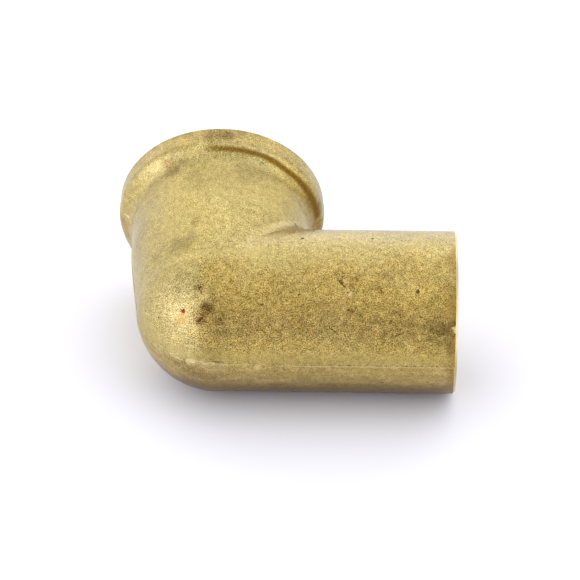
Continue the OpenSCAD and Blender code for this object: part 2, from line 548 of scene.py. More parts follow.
s_rows = np.arange(S_FACE, THREAD_END, -PITCH / 16)
s_rows = np.append(s_rows[1:], THREAD_END)
prev, pv = mouth, 0.020 + 2.45 / total2
for s in s_rows:
    zone = TURNED if s > S_FACE - (MOUTH_R - MAJOR_R) - 0.02 else THREAD
    ring = S.add(ring_y(s, thread_radius(s, IN_T)))
    nv = pv + (PITCH / 16) * 1.55 / total2
    S.band(prev, ring, uv_ring(BOX_2, in_u, pv), uv_ring(BOX_2, in_u, nv), zone)
    prev, pv = ring, nv
S.ring_sharp(prev)
way_s = THREAD_END - (MINOR_R - WAY2) * TIP
start2 = S.add(ring_y(way_s, WAY2, CT2))
nv = pv + 1.2 / total2
ct2_u = np.append(CT2, 2 * math.pi) / (2 * math.pi)
S.zip(prev, start2, np.append(IN_T, 2 * math.pi), np.append(CT2, 2 * math.pi),
      uv_ring(BOX_2, in_u, pv), uv_ring(BOX_2, ct2_u, nv), BORE)
S.ring_sharp(start2)


def wall2(t, k):
    s = np.where(k <= 1, way_s + (-PAST - way_s) * k, -PAST - WAY2 * TIP * (k - 1))
    r = np.where(k <= 1, WAY2, WAY2 * (2 - k))
    return np.stack([r * np.cos(t), s, r * np.sin(t)], -1)


s_end = CURVE[:, 1]
k2 = np.where(s_end >= -PAST, (s_end - way_s) / (-PAST - way_s), 1 + (-PAST - s_end) / (WAY2 * TIP))


# the second wall faces the other way, so its faces are turned round after
mark = len(S.faces)
wall_columns(start2, lambda t, k: wall2(np.array(t), np.array(k)), CT2, k2, 1.0, I_curve,
             BOX_2, ct2_u, nv, 0.99, 2.0, 0.10)

# --------------------------------------------------------------------------
# Blender mesh
# --------------------------------------------------------------------------
co = to_world(np.concatenate(S.co))
sizes = np.array([len(f) for f in S.faces])
loops = np.array([i for f in S.faces for i in f], dtype=np.int32)
uv = np.array(S.uvs, dtype=np.float32)
mesh = bpy.data.meshes.new("elbow_brass")
mesh.vertices.add(len(co))
mesh.vertices.foreach_set("co", co.astype(np.float32).ravel())
mesh.loops.add(len(loops))
mesh.loops.foreach_set("vertex_index", loops)
mesh.polygons.add(len(sizes))
mesh.polygons.foreach_set("loop_start", np.concatenate([[0], np.cumsum(sizes)[:-1]]).astype(np.int32))
mesh.polygons.foreach_set("material_index", np.array(S.zone, dtype=np.int32))
layer = mesh.uv_layers.new(name="OFBake")
layer.data.foreach_set("uv", uv.ravel())
mesh.update(calc_edges=True)
mesh.validate()
ev = np.zeros(len(mesh.edges) * 2, dtype=np.int32)
mesh.edges.foreach_get("vertices", ev)
ev = np.sort(ev.reshape(-1, 2), axis=1)
sharp_keys = set(tuple(sorted(e)) for e in S.sharp)
sharp = np.array([tuple(e) in sharp_keys for e in ev.tolist()], dtype=bool)
attr = mesh.attributes.new("sharp_edge", "BOOLEAN", "EDGE")
attr.data.foreach_set("value", sharp)

piece = bpy.data.objects.new("elbow_brass", mesh)
bpy.context.scene.collection.objects.link(piece)
import bmesh
bm = bmesh.new()
bm.from_mesh(mesh)
bmesh.ops.recalc_face_normals(bm, faces=bm.faces)
open_edges = sum(1 for e in bm.edges if len(e.link_faces) != 2)
volume = bm.calc_volume(signed=True)
tris = sum(len(f.verts) - 2 for f in bm.faces)
bm.to_mesh(mesh)
bm.free()
mesh.update()
print("MESH", len(co), "verts", tris, "tris", open_edges, "open edges", round(volume * 1e9, 1), "mm3")

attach(piece, "root")
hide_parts("elbow_body")


STUDIO = {
    # soft panels all round the table: azimuth (0 is the camera's side, 90 is +X), elevation, colour
    "panels": [
        (-180, 8, 0.45, 0.45, 0.72), (-150, 8, 1.26, 1.32, 1.44), (-120, 8, 0.17, 0.16, 0.25),
        (-90, 8, 1.00, 1.00, 1.14), (-60, 8, 1.51, 1.53, 1.98), (-30, 8, 1.13, 1.11, 1.55),
        (0, 8, 0.00, 0.00, 0.03), (30, 8, 0.00, 0.00, 0.08), (60, 8, 1.15, 1.24, 1.29),
        (90, 8, 0.79, 0.71, 0.49), (150, 8, 1.25, 1.24, 1.21), (-180, 38, 0.36, 0.41, 0.63),
        (-140, 38, 0.70, 0.64, 0.50), (-60, 38, 0.13, 0.15, 0.08), (-20, 38, 0.58, 0.57, 0.49),
        (20, 38, 0.14, 0.10, 0.00), (60, 38, 0.75, 0.80, 0.95), (100, 38, 0.00, 0.00, 0.08),
        (140, 38, 0.66, 0.63, 0.56), (-180, 65, 0.63, 0.59, 0.48), (-90, 65, 0.74, 0.79, 0.91),
        (0, 65, 0.45, 0.45, 0.46), (90, 65, 0.69, 0.71, 0.90),
    ],
    # how narrow each panel's glow is
    "narrow": 9.0,
}


class Graph:
    """Short names for the nodes used here."""

    def __init__(self, tree):
        self.t = tree

    def node(self, kind, **props):
        n = self.t.nodes.new(kind)
        for k, v in props.items():
            setattr(n, k, v)
        return n

    def link(self, a, b):
        self.t.links.new(a, b)

    def put(self, socket, value):
        if isinstance(value, bpy.types.NodeSocket):
            self.t.links.new(value, socket)
        elif isinstance(value, (tuple, list)):
            socket.default_value = (*value, 1.0) if socket.type == "RGBA" and len(value) == 3 else value
        else:
            socket.default_value = value

    def math(self, op, a, b=None, c=None, clamp=False):
        n = self.node("ShaderNodeMath", operation=op, use_clamp=clamp)
        for i, v in enumerate((a, b, c)):
            if v is not None:
                self.put(n.inputs[i], v)
        return n.outputs[0]

    def vector(self, op, a, b=None, out=None, scale=None):
        n = self.node("ShaderNodeVectorMath", operation=op)
        self.put(n.inputs[0], a)
        if b is not None:
            self.put(n.inputs[1], b)
        if scale is not None:
            self.put(n.inputs["Scale"], scale)
        return n.outputs[out or "Vector"]

    def ramp(self, value, lo, hi, out_lo=0.0, out_hi=1.0, smooth=True):
        n = self.node("ShaderNodeMapRange")
        n.interpolation_type = "SMOOTHSTEP" if smooth else "LINEAR"
        for i, v in enumerate((value, lo, hi, out_lo, out_hi)):
            self.put(n.inputs[i], v)
        return n.outputs[0]

    def noise(self, at, scale, detail=1.0, rough=0.5, lac=2.0):
        n = self.node("ShaderNodeTexNoise")
        self.put(n.inputs["Vector"], at)
        n.inputs["Scale"].default_value = scale
        n.inputs["Detail"].default_value = detail
        n.inputs["Roughness"].default_value = rough
        n.inputs["Lacunarity"].default_value = lac
        return n.outputs["Fac"]

    def mix(self, factor, a, b, kind="MIX"):
        n = self.node("ShaderNodeMix", data_type="RGBA", blend_type=kind, clamp_result=False)
        n.clamp_factor = True
        self.put(n.inputs[0], factor)
        self.put(n.inputs[6], a)
        self.put(n.inputs[7], b)
        return n.outputs[2]

    def attribute(self, name):
        return self.node("ShaderNodeAttribute", attribute_name=name).outputs["Fac"]


def flat_coords(g):
    """Place on the object in mm, in the frame of its two arms."""
    tc = g.node("ShaderNodeTexCoord")
    m = g.node("ShaderNodeMapping", vector_type="POINT")
    g.link(tc.outputs["Object"], m.inputs["Vector"])
    m.inputs["Scale"].default_value = (1000, 1000, 1000)
    m.inputs["Rotation"].default_value = (-LEAN, 0, 0)
    c = CORNER
    m.inputs["Location"].default_value = (
        -c[0],
        -(math.cos(LEAN) * c[1] + math.sin(LEAN) * c[2]),
        -(-math.sin(LEAN) * c[1] + math.cos(LEAN) * c[2]),
    )
    return m.outputs["Vector"]


def brass(name):
    m = bpy.data.materials.new(name)
    m.use_nodes = True
    g = Graph(m.node_tree)
    b = m.node_tree.nodes["Principled BSDF"]
    b.inputs["Metallic"].default_value = 1.0
    return m, g, b


# Pits and specks too fine for the mesh, in the flat frame: x, y, z, radius, mm
PITS = [
    # corner
    (-2.05, -5.18, 8.93, 0.15), (-2.25, -5.35, 8.80, 0.11), (-1.95, -5.75, 8.56, 0.13),
    (-7.42, -6.07, 4.30, 0.10), (-2.11, -8.34, 6.07, 0.20), (-1.75, -8.20, 6.30, 0.15),
    # front of the plain arm, towards the corner
    (0.55, -8.39, 6.34, 0.15), (0.35, -8.34, 6.40, 0.12), (1.62, -8.33, 6.40, 0.12), (4.14, -8.12, 6.67, 0.10),
    (1.32, -9.09, 5.28, 0.11), (3.85, -9.42, 4.67, 0.13), (5.83, -7.04, 7.77, 0.16), (5.62, -7.06, 7.75, 0.12),
    (4.83, -7.59, 7.23, 0.11), (2.83, -9.15, 5.19, 0.10), (6.75, -8.92, 5.57, 0.09),
    # its middle
    (9.35, -5.80, 8.75, 0.12), (10.49, -6.01, 8.62, 0.12), (11.01, -7.01, 7.84, 0.12), (10.75, -7.05, 7.80, 0.09),
    (13.15, -6.39, 8.34, 0.10), (11.44, -9.22, 5.06, 0.12), (13.33, -9.15, 5.20, 0.10), (9.67, -9.17, 5.15, 0.09),
    (14.34, -8.88, 5.67, 0.12), (14.72, -9.03, 5.40, 0.08), (15.10, -9.17, 5.17, 0.12),
    # crack-like mark and what is beside it
    (15.30, -4.05, 9.69, 0.08), (15.62, -4.40, 9.50, 0.12), (15.80, -4.66, 9.38, 0.21), (16.17, -5.05, 9.20, 0.09),
    (15.90, -3.82, 9.76, 0.12), (15.93, -3.27, 9.96, 0.09), (15.55, -3.55, 9.86, 0.05), (15.29, -2.09, 10.25, 0.09),
    (16.55, -5.71, 8.80, 0.11), (16.90, -5.26, 9.09, 0.08), (17.00, -4.95, 9.25, 0.07), (17.25, -4.72, 9.37, 0.09),
    (17.72, -4.15, 9.64, 0.06), (19.63, -4.40, 9.51, 0.11),
    (16.71, -7.50, 7.37, 0.12), (17.21, -7.59, 7.28, 0.15), (17.50, -7.52, 7.34, 0.10), (18.23, -7.92, 6.92, 0.14),
    (18.50, -8.05, 6.76, 0.11), (19.50, -8.06, 6.73, 0.11), (19.95, -8.06, 6.73, 0.10),
    (20.47, -5.05, 9.16, 0.08), (20.85, -5.53, 8.90, 0.07), (20.62, -5.25, 9.06, 0.05),
    (25.44, -5.50, 8.94, 0.25), (22.78, -7.61, 7.23, 0.13), (21.02, -8.21, 6.55, 0.10), (23.00, -0.51, 10.46, 0.05),
    (24.52, -0.65, 10.44, 0.04), (28.32, -2.39, 10.23, 0.06), (26.96, -2.55, 10.18, 0.04),
    # scratch
    (22.75, -9.37, 4.74, 0.09), (22.98, -9.32, 4.83, 0.10), (23.20, -9.27, 4.93, 0.09), (23.45, -9.22, 5.01, 0.07),
    (23.70, -9.18, 5.09, 0.05),
    # below the parting line, and the crotch
    (21.16, -10.11, -2.81, 0.14), (26.96, -10.18, -2.63, 0.13), (10.76, 2.78, 10.12, 0.20), (10.50, 2.55, 10.19, 0.06),
    (19.71, 3.00, 10.08, 0.15), (0.31, -10.50, 0.80, 0.09), (-0.05, -10.50, 0.84, 0.08), (-0.40, -10.48, 0.88, 0.07),
]


def to_segment(g, p, a, b):
    """Distance to the straight line between two points."""
    ab = tuple(v - u for u, v in zip(a, b))
    ap = g.vector("SUBTRACT", p, a)
    t = g.math("DIVIDE", g.vector("DOT_PRODUCT", ap, ab, "Value"), sum(c * c for c in ab), clamp=True)
    return g.vector("DISTANCE", ap, g.vector("SCALE", ab, scale=t), "Value")


# Fine dark lines in the skin: two ends in the flat frame and half width, mm
LINES = [
    # fold in the crotch
    ((6.7, 4.3, 9.62), (8.4, 5.6, 8.95), 0.07), ((8.4, 5.6, 8.95), (10.0, 6.4, 8.50), 0.08),
    ((9.75, 9.75, 6.22), (10.10, 8.80, 6.42), 0.09),
    # scratch near the plain end
    ((22.70, -9.37, 4.72), (23.75, -9.14, 5.15), 0.08),
    # crack-like mark and flake edge
    ((15.27, -4.19, 9.61), (15.78, -4.55, 9.43), 0.05), ((15.78, -4.55, 9.43), (16.15, -5.08, 9.18), 0.09),
    ((15.90, -3.82, 9.76), (15.74, -4.50, 9.46), 0.03), ((16.80, -4.80, 9.32), (16.96, -5.45, 8.96), 0.04),
    # dashes above the parting line at the corner
    ((-0.41, -10.48, 0.98), (0.12, -10.50, 0.86), 0.045), ((0.36, -10.50, 0.80), (0.91, -10.49, 0.84), 0.035),
    ((14.34, -8.88, 5.67), (15.10, -9.17, 5.17), 0.05), ((2.09, -10.55, -0.57), (2.47, -10.57, -0.33), 0.02),
    ((-5.66, -8.95, 0.24), (-4.81, -9.33, 0.74), -0.02),
    # under the nick at the plain end
    ((30.16, -9.22, 4.98), (29.98, -9.45, 4.52), 0.05), ((29.95, -8.35, 6.35), (30.15, -8.50, 6.15), 0.07),
]


# The same for lines rubbed bright
BRIGHT = [
    # strokes and flakes where the parting line runs round the corner
    ((-5.90, -8.70, 0.47), (-4.81, -9.30, 1.02), 0.05), ((-5.40, -9.08, 0.30), (-4.40, -9.61, 0.31), 0.06),
    ((-4.81, -9.30, 1.02), (-3.41, -9.78, 1.87), 0.02), ((-3.81, -9.84, 0.45), (-2.81, -10.12, 0.77), 0.09),
    ((-3.75, -9.88, 0.20), (-3.43, -10.01, -0.20), 0.08), ((-3.30, -10.00, 0.35), (-2.70, -10.14, 0.50), 0.08),
    ((-2.43, -10.22, 0.74), (-1.85, -10.34, 0.73), 0.05), ((-1.85, -10.34, 0.73), (-1.34, -10.45, 0.43), 0.06),
    ((-1.34, -10.45, 0.43), (-0.86, -10.47, 0.68), 0.04), ((-0.86, -10.47, 0.68), (-0.26, -10.51, 0.65), 0.04),
    ((-1.86, -10.43, -0.01), (-0.87, -10.54, -0.57), 0.03), ((-0.87, -10.54, -0.57), (0.11, -10.56, -0.67), 0.01),
    ((-3.98, -9.75, -0.95), (-3.90, -9.77, -0.95), 0.05), ((-0.26, -10.51, 0.50), (2.20, -10.55, 0.40), 0.01),
    # beside the crack-like mark
    ((16.75, -6.05, 8.60), (17.10, -5.70, 8.84), 0.06), ((16.10, -4.25, 9.60), (16.16, -4.62, 9.42), 0.04),
    # nick in the plain end's edge, with a rubbed curve beside it
    ((29.95, -8.75, 5.80), (30.30, -9.08, 5.27), 0.11), ((30.22, -8.72, 5.84), (30.30, -8.95, 5.48), 0.09),
    ((29.55, -9.15, 5.10), (29.42, -9.71, 3.93), 0.00),
    ((23.75, -9.66, 4.08), (24.50, -9.92, 3.42), 0.04), ((19.95, 2.70, 10.16), (20.25, 2.95, 10.08), 0.05),
    ((3.6, 17.3, 12.7), (4.9, 17.5, 12.3), 0.05), ((-12.72, 16.65, 1.20), (-12.15, 15.95, 1.30), 0.15),
]


def forged():
    m, g, b = brass("brass_forged")
    p = flat_coords(g)
    sep = g.node("ShaderNodeSeparateXYZ")
    g.link(p, sep.inputs[0])
    x, y, z = sep.outputs
    patina_and_front_shade, grain, band = g.attribute("patina_and_front_shade"), g.attribute("grain"), g.attribute("band")
    crest, belt = g.attribute("crest"), g.attribute("belt")
    # grain at three sizes, the finest about a tenth of a millimetre
    tiny = g.math("SUBTRACT", g.noise(p, 9.5, 1.0), 0.5)
    fine = g.math("SUBTRACT", g.noise(g.vector("ADD", p, (7.3, 2.1, 4.9)), 4.6, 1.0, 0.6), 0.5)
    middle = g.math("SUBTRACT", g.noise(p, 1.35, 2.0, 0.55), 0.5)
    # belt lines along the trimmed band: long along the arms, fine across
    lines = g.math("SUBTRACT", g.noise(g.vector("MULTIPLY", p, (0.22, 0.22, 3.4)), 1.0, 2.0, 0.6), 0.5)
    # scale marks round the collar's crest
    round_ = g.math("SUBTRACT", g.noise(g.vector("MULTIPLY", p, (0.55, 3.2, 0.55)), 1.0, 3.0, 0.6), 0.5)

    # colour of each zone
    # patina on the front, partly painted shade: darker and browner there
    tone = g.mix(patina_and_front_shade, (0.490, 0.383, 0.130), (0.436, 0.306, 0.076))
    tone = g.mix(g.math("MULTIPLY", band, 0.85), tone, (0.455, 0.325, 0.108))
    tone = g.mix(g.math("MULTIPLY", crest, g.ramp(round_, -0.10, 0.12, 0.35, 1.0)), tone, (0.375, 0.270, 0.083))

    # grain: dark hollows, and bright tips painted as glints
    t = g.math("MULTIPLY", g.math("MULTIPLY_ADD", tiny, 3.4, g.math("MULTIPLY", fine, 0.42)), g.math("MULTIPLY", grain, 3.1))
    t = g.math("ADD", t, g.math("MULTIPLY", lines, g.math("MULTIPLY", belt, 0.75)))
    t = g.math("ADD", t, g.math("MULTIPLY", round_, g.math("MULTIPLY", crest, 2.8)))
    # a dense scatter of small hollows, and bright tips that are painted glints
    vor = g.node("ShaderNodeTexVoronoi", feature="F1")
    g.put(vor.inputs["Vector"], p)
    vor.inputs["Scale"].default_value = 3.6
    kinds = g.node("ShaderNodeSeparateColor")
    g.link(vor.outputs["Color"], kinds.inputs[0])
    away = g.math("MULTIPLY_ADD", fine, 0.35, vor.outputs["Distance"])
    hollow = g.ramp(g.math("SUBTRACT", away, g.ramp(kinds.outputs[0], 0.45, 1.0, -0.10, 0.36, smooth=False)), -0.10, 0.10, -0.80, 0.0)
    tip = g.ramp(g.math("SUBTRACT", away, g.ramp(kinds.outputs[1], 0.76, 1.0, -0.10, 0.30, smooth=False)), -0.10, 0.10, 0.88, 0.0)
    t = g.math("ADD", t, g.math("MULTIPLY", g.math("MULTIPLY_ADD", hollow, grain, tip), grain))
    # slow changes of tone, without a change of hue; the attribute also adds painted highlights and painted shade
    tone_and_painted_light = g.math("MULTIPLY", middle, g.math("MULTIPLY_ADD", grain, 0.75, 0.50))
    tone_and_painted_light = g.math("ADD", tone_and_painted_light, g.attribute("tone_and_painted_light"))
    tone = g.vector("SCALE", tone, scale=g.math("ADD", tone_and_painted_light, 0.5))
    low = g.math("MULTIPLY", t, -0.80, clamp=True)
    bright_grain_and_glint = g.math("MULTIPLY", t, 1.30, clamp=True)
    dark = g.mix(1.0, tone, (0.36, 0.27, 0.07), "MULTIPLY")
    light = g.mix(1.0, tone, (1.45, 1.56, 2.05), "MULTIPLY")
    colour = g.mix(low, tone, dark)
    # the bright side of the grain, partly painted glints
    colour = g.mix(bright_grain_and_glint, colour, light)

    # scattered specks on the worn front
    vor = g.node("ShaderNodeTexVoronoi", feature="F1")
    g.put(vor.inputs["Vector"], g.vector("ADD", p, g.vector("SCALE", g.vector_noise(p, 3.0), scale=0.30)))
    vor.inputs["Scale"].default_value = 0.95
    sep = g.node("ShaderNodeSeparateColor")
    g.link(vor.outputs["Color"], sep.inputs[0])
    size = g.math("ADD", g.ramp(sep.outputs[0], 0.50, 1.0, -0.08, 0.15, smooth=False), g.math("MULTIPLY_ADD", g.attribute("cluster"), 0.22, -0.12))
    speck = g.math("MULTIPLY", g.ramp(g.math("SUBTRACT", vor.outputs["Distance"], size), -0.04, 0.04, 1.0, 0.0),
                   g.math("MULTIPLY", grain, grain))

    # named pits and lines
    wob = g.vector("ADD", p, g.vector("SCALE", g.vector_noise(p, 4.2), scale=0.24))
    near = None
    for px, py, pz, r in PITS:
        d = g.math("SUBTRACT", g.vector("DISTANCE", wob, (px, py, pz), "Value"), r)
        near = d if near is None else g.math("MINIMUM", near, d)
    for start, end, half in LINES:
        near = g.math("MINIMUM", near, g.math("SUBTRACT", to_segment(g, wob, start, end), half))
    pit = g.ramp(near, -0.09, 0.09, 1.0, 0.0)
    near = None
    for start, end, half in BRIGHT:
        d = g.math("SUBTRACT", to_segment(g, wob, start, end), half)
        near = d if near is None else g.math("MINIMUM", near, d)
    rubbed = g.ramp(near, -0.15, 0.10, 1.0, 0.0)

    # dark brown band on the back of the collar, on the side of the plain arm
    centre = g.math("ADD", g.ramp(z, 9.3, 11.6, 16.55, 16.77), g.math("MULTIPLY", fine, 0.10))
    half = g.ramp(z, 3.0, 9.0, 0.38, 0.27)
    off = g.math("DIVIDE", g.math("ABSOLUTE", g.math("SUBTRACT", y, centre)), half)
    root = g.attribute("root")
    root_band = g.math("MULTIPLY", g.ramp(off, 0.25, 1.75, 1.0, 0.0), g.math("MULTIPLY", g.ramp(root, 0.0, 0.5),
                  g.ramp(g.math("MULTIPLY_ADD", root, 0.9, fine), 0.12, 0.50)))

    # parting line: broken dark line with a bright edge under it, a painted highlight where the step faces up
    wave = g.math("ADD", z, g.math("MULTIPLY", middle, 0.05))
    along = g.noise(g.vector("MULTIPLY", p, (1.1, 0.0, 0.0)), 1.0, 2.0, 0.7)
    side = g.math("MULTIPLY", g.ramp(x, 7.5, 11.0), g.math("LESS_THAN", y, 0.0))
    dash = g.math("MULTIPLY", g.ramp(g.math("ABSOLUTE", g.math("SUBTRACT", wave, 0.51)), 0.03, 0.11, 1.0, 0.0),
                  g.math("MULTIPLY", g.ramp(along, 0.46, 0.60, 0.05, 1.0), side))
    lip = g.math("MULTIPLY", g.ramp(g.math("ABSOLUTE", g.math("SUBTRACT", wave, 0.35)), 0.02, 0.12, 1.0, 0.0),
                 g.math("MULTIPLY", side, 0.50))

    # stains, soot, rubbed places
    colour = g.mix(g.math("MULTIPLY", g.attribute("stain"), g.ramp(g.math("ADD", fine, tiny), 0.24, -0.10, 0.50, 1.0)), colour,
                   g.mix(1.0, colour, (0.34, 0.24, 0.11), "MULTIPLY"))
    # brown tint on the collar, and painted shade on the underside
    colour = g.mix(g.attribute("brown_tint_and_painted_shade"), colour, g.mix(1.0, colour, (0.60, 0.46, 0.24), "MULTIPLY"))
    colour = g.mix(g.attribute("smut"), colour, g.mix(1.0, colour, (0.50, 0.49, 0.52), "MULTIPLY"))
    colour = g.mix(g.attribute("rust"), colour, (0.56, 0.33, 0.070))
    colour = g.mix(g.math("MULTIPLY", g.attribute("edge"), g.ramp(g.math("ADD", g.math("MULTIPLY", tiny, 1.2), fine), -0.06, 0.14, 0.05, 0.95)), colour, (0.19, 0.105, 0.026))
    colour = g.mix(g.attribute("pale"), colour, (0.68, 0.57, 0.27))
    colour = g.mix(rubbed, colour, (0.86, 0.74, 0.38))
    # painted highlight on the parting line's step
    colour = g.mix(lip, colour, (0.56, 0.45, 0.22))
    colour = g.mix(g.math("MULTIPLY", root_band, 0.96), colour, g.mix(g.ramp(g.math("ADD", fine, tiny), -0.20, 0.20), (0.165, 0.080, 0.005), (0.27, 0.152, 0.018)))
    colour = g.mix(g.math("MULTIPLY", speck, 0.90), colour, g.mix(1.0, colour, (0.32, 0.25, 0.14), "MULTIPLY"))
    colour = g.mix(g.math("MULTIPLY", dash, 0.78), colour, (0.110, 0.068, 0.022))
    colour = g.mix(g.math("MULTIPLY", pit, 0.90), colour, (0.085, 0.048, 0.013))
    # the red-brown spot at the corner
    spot = g.ramp(g.vector("DISTANCE", wob, (-4.22, -7.12, 6.50), "Value"), 0.20, 0.42, 1.0, 0.0)
    colour = g.mix(spot, colour, (0.215, 0.040, 0.006))
    g.link(colour, b.inputs["Base Color"])

    rough = g.math("MULTIPLY_ADD", middle, 0.22, 0.315)
    rough = g.math("ADD", rough, g.math("MULTIPLY", g.math("MAXIMUM", pit, root_band), 0.22))
    g.link(rough, b.inputs["Roughness"])

    # height in mm
    h = g.math("MULTIPLY", g.math("MULTIPLY_ADD", tiny, 0.45, fine), g.math("MULTIPLY_ADD", grain, 0.042, 0.006))
    h = g.math("ADD", h, g.math("MULTIPLY", middle, 0.045))
    h = g.math("ADD", h, g.math("MULTIPLY", lines, g.math("MULTIPLY", belt, 0.020)))
    h = g.math("ADD", h, g.math("MULTIPLY", round_, g.math("MULTIPLY", crest, 0.030)))
    h = g.math("SUBTRACT", h, g.math("MULTIPLY", pit, 0.08))
    bump = g.node("ShaderNodeBump")
    bump.inputs["Strength"].default_value = 1.0
    bump.inputs["Distance"].default_value = 0.001
    g.link(h, bump.inputs["Height"])
    g.link(bump.outputs["Normal"], b.inputs["Normal"])
    return m


def machined(name, colour, rough, ring_scale, depth):
    """Bright turned brass: fine rings left by the tool round each axis, faint handling marks."""
    m, g, b = brass(name)
    p = flat_coords(g)
    sep = g.node("ShaderNodeSeparateXYZ")
    g.link(p, sep.inputs[0])
    x, y, z = sep.outputs
    # on the plain arm the axis is x, on the collared arm y: the faces of each
    # arm lie on their own side of the diagonal
    r1 = g.math("SQRT", g.math("ADD", g.math("MULTIPLY", y, y), g.math("MULTIPLY", z, z)))
    r2_ = g.math("SQRT", g.math("ADD", g.math("MULTIPLY", x, x), g.math("MULTIPLY", z, z)))
    on2 = g.math("GREATER_THAN", y, x)
    s = g.math("ADD", g.math("MULTIPLY", x, g.math("SUBTRACT", 1.0, on2)), g.math("MULTIPLY", y, on2))
    r = g.math("ADD", g.math("MULTIPLY", r1, g.math("SUBTRACT", 1.0, on2)), g.math("MULTIPLY", r2_, on2))
    comb = g.node("ShaderNodeCombineXYZ")
    g.link(s, comb.inputs[0])
    g.link(r, comb.inputs[1])
    g.link(g.math("MULTIPLY", g.noise(p, 0.25, 1.0), 0.08), comb.inputs[2])
    rings = g.noise(comb.outputs[0], ring_scale, 2.0, 0.6)
    cloud = g.noise(p, 0.7, 3.0, 0.55)
    fine = g.noise(p, 7.0, 2.0, 0.5)
    tone = g.mix(g.ramp(cloud, 0.35, 0.70), colour, tuple(c * k for c, k in zip(colour, (0.90, 0.86, 0.74))))
    tone = g.mix(g.math("MULTIPLY", g.ramp(rings, 0.30, 0.70), 0.35), tone,
                 tuple(c * k for c, k in zip(colour, (0.84, 0.80, 0.70))))
    # darker low down on the outer edges
    low = g.math("MULTIPLY", g.ramp(g.math("MULTIPLY_ADD", cloud, 3.0, z), 5.5, 2.0), g.ramp(r, 9.4, 10.0))
    tone = g.mix(low, tone, g.mix(1.0, tone, (0.62, 0.58, 0.47), "MULTIPLY"))
    g.link(tone, b.inputs["Base Color"])
    g.link(g.math("MULTIPLY_ADD", cloud, 0.20, rough - 0.10), b.inputs["Roughness"])
    h = g.math("ADD", g.math("MULTIPLY", g.math("SUBTRACT", rings, 0.5), depth),
               g.math("MULTIPLY", g.math("SUBTRACT", fine, 0.5), 0.002))
    bump = g.node("ShaderNodeBump")
    bump.inputs["Strength"].default_value = 1.0
    bump.inputs["Distance"].default_value = 0.001
    g.link(h, bump.inputs["Height"])
    g.link(bump.outputs["Normal"], b.inputs["Normal"])
    return m


def vector_noise(self, at, scale):
    """Noise as a vector about zero."""
    n = self.node("ShaderNodeTexNoise")
    self.put(n.inputs["Vector"], at)
    n.inputs["Scale"].default_value = scale
    n.inputs["Detail"].default_value = 1.0
    return self.vector("SUBTRACT", n.outputs["Color"], (0.5, 0.5, 0.5))


Graph.vector_noise = vector_noise

